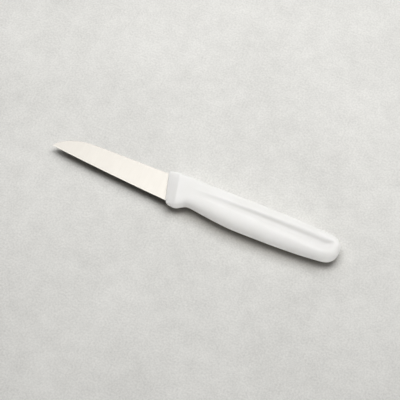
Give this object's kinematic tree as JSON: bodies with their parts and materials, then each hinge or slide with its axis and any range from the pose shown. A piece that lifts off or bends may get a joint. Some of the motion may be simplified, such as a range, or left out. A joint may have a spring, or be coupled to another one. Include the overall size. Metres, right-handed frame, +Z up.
{
  "type": "paring knife",
  "caption": "Small paring knife lying on its side: straight-spined ground blade with a nose curving down to the point, in a moulded handle with a slanted front, finger notch and round butt.",
  "frame": {"origin": "middle of the underside of the knife's box, on the surface that the knife lies on", "axes": "+X along the straight spine from the point to the butt, +Y from the cutting edge to the spine, +Z up out of the side that faces up, with the blade's mid-plane level half way up the handle's thickness"},
  "size_m": [0.1802, 0.0208, 0.0124],
  "materials": {
    "blade_steel": "fine-ground stainless steel, satin, with faint grinding lines across the blade",
    "handle_plastic": "white moulded polypropylene with a soft satin surface"
  },
  "bodies": {
    "root": {"blade": "blade_steel", "handle": "handle_plastic"}
  },
  "joints": []
}
